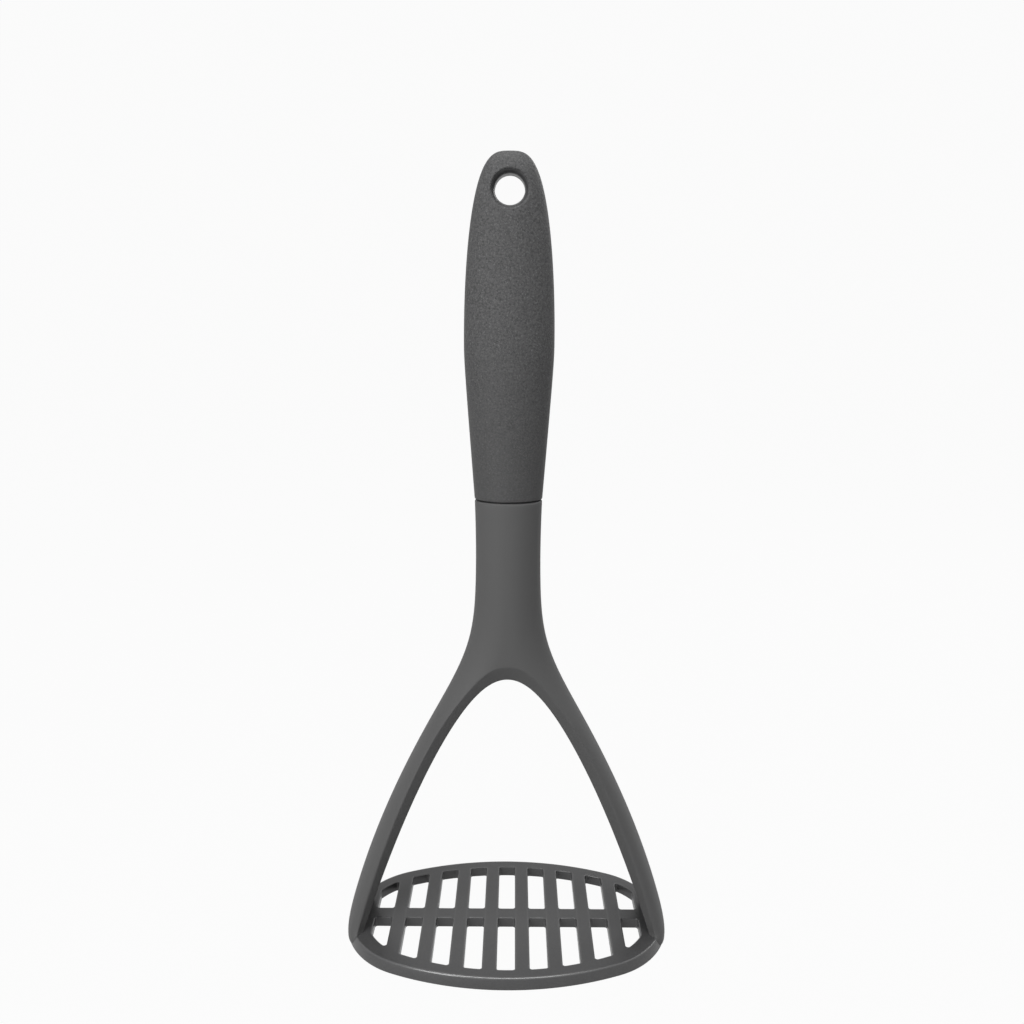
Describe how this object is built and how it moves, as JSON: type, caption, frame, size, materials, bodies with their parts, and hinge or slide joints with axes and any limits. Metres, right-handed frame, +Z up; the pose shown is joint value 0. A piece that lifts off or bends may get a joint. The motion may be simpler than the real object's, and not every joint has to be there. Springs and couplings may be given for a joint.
{
  "type": "potato masher",
  "caption": "Hand masher with a slotted oval plate on two bowed legs, a waisted neck and a soft-skinned handle with a hanging hole.",
  "frame": {"origin": "middle of the plate's flat underside, which is the middle of the bottom of the bounding box", "axes": "+Z up the handle, +X along the plate's long axis, +Y away from the viewer of the picture, across the plate"},
  "size_m": [0.1414, 0.087, 0.33],
  "materials": {
    "head_nylon": "satin dark grey moulded nylon",
    "core_plastic": "smooth dark grey hard plastic",
    "grip_rubber": "fine-grained matte dark grey soft skin"
  },
  "bodies": {
    "root": {"masher_head": "head_nylon", "handle_core": "core_plastic", "soft_grip": "grip_rubber"}
  },
  "joints": []
}
